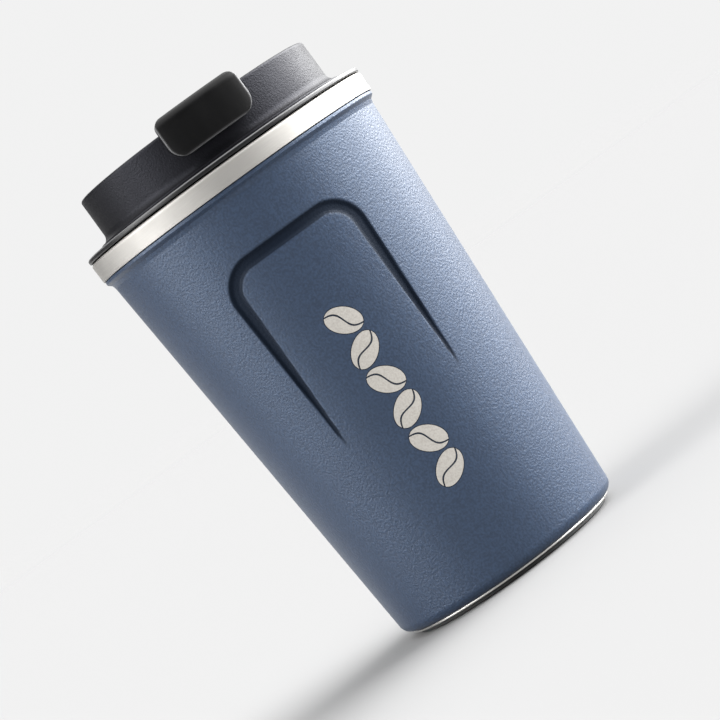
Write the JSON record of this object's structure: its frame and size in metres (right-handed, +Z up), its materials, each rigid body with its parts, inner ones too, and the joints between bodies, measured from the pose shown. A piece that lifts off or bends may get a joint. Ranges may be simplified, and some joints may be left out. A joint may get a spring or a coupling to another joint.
{
  "type": "insulated travel mug",
  "caption": "Double-wall steel travel mug with a tapered coated body, a bare steel mouth band, a screw-in lid and a hinged drinking tongue.",
  "frame": {"origin": "centre of the base pad's underside, on the mug's axis", "axes": "+Z up the mug's axis; the debossed arch faces -Y, and the lid's tongue tab faces -Y within 3.3 degrees; +X to the right of the front"},
  "size_m": [0.09, 0.09, 0.1528],
  "materials": {
    "powder_coat": "matte fine-grained powder coat",
    "brushed_band": "satin, brushed round the band",
    "bare_steel": "satin",
    "foil": "bright foil",
    "getter_alloy": "sintered",
    "solder": "fused bead",
    "pad_rubber": "matte",
    "lid_textured": "fine moulded grain",
    "lid_plain": "satin",
    "tongue_satin": "smooth satin",
    "silicone": "matte translucent grey"
  },
  "bodies": {
    "cup": {"outer_shell": "powder_coat", "rim_band": "brushed_band", "inner_liner": "bare_steel", "liner_floor": "bare_steel", "radiation_foil": "foil", "vacuum_bottom": "bare_steel", "getter": "getter_alloy", "getter_clip": "bare_steel", "vacuum_seal": "solder", "base_cap": "bare_steel", "base_pad": "pad_rubber"},
    "seal": {"lid_seal": "silicone"},
    "lid": {"lid_cover": "lid_textured", "lid_base": "lid_plain", "spout_gasket": "silicone", "vent_gasket": "silicone", "hinge_pin": "bare_steel"},
    "tongue": {"flip_tongue": "tongue_satin", "tongue_liner": "lid_plain", "spout_plug": "silicone", "vent_plug": "silicone"}
  },
  "joints": [
    {"name": "lid_rise", "type": "slide", "parent": "cup", "child": "seal", "axis": [0, 0, 1], "range_m": [0, 0.018]},
    {"name": "lid_turn", "type": "hinge", "parent": "seal", "child": "lid", "pos_m": [0, 0, 0.13], "axis": [0, 0, 1], "range_deg": [0, 1080]},
    {"name": "tongue_hinge", "type": "hinge", "parent": "lid", "child": "tongue", "pos_m": [-0.00046, 0.00799, 0.1464], "axis": [-0.9983, -0.0576, 0], "range_deg": [0, 110]}
  ],
  "couplings": [
    {"joint": "lid_rise", "follows": "lid_turn", "m_per_rad": 0.00095493}
  ]
}
